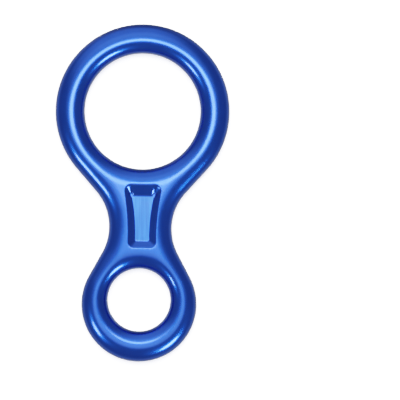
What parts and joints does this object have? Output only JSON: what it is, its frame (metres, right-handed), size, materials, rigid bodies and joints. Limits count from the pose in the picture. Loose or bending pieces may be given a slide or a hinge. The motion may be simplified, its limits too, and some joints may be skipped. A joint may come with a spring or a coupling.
{
  "type": "figure-eight rope descender",
  "caption": "Forged figure-eight descender: a large rope eye and a small carabiner eye, joined by a waisted neck with a shallow recess in each face.",
  "frame": {"origin": "middle of the flat underside, below the middle of the body's length and width", "axes": "+X across the width, +Y along the length towards the large rope eye, +Z through the thickness, along the axes of both eyes"},
  "size_m": [0.062, 0.12, 0.012],
  "materials": {
    "blue_anodised": "forged, tumbled and polished aluminium alloy with a transparent blue anodised layer; fine brushed lines on the recess floors"
  },
  "bodies": {
    "root": {"figure_eight_body": "blue_anodised"}
  },
  "joints": []
}
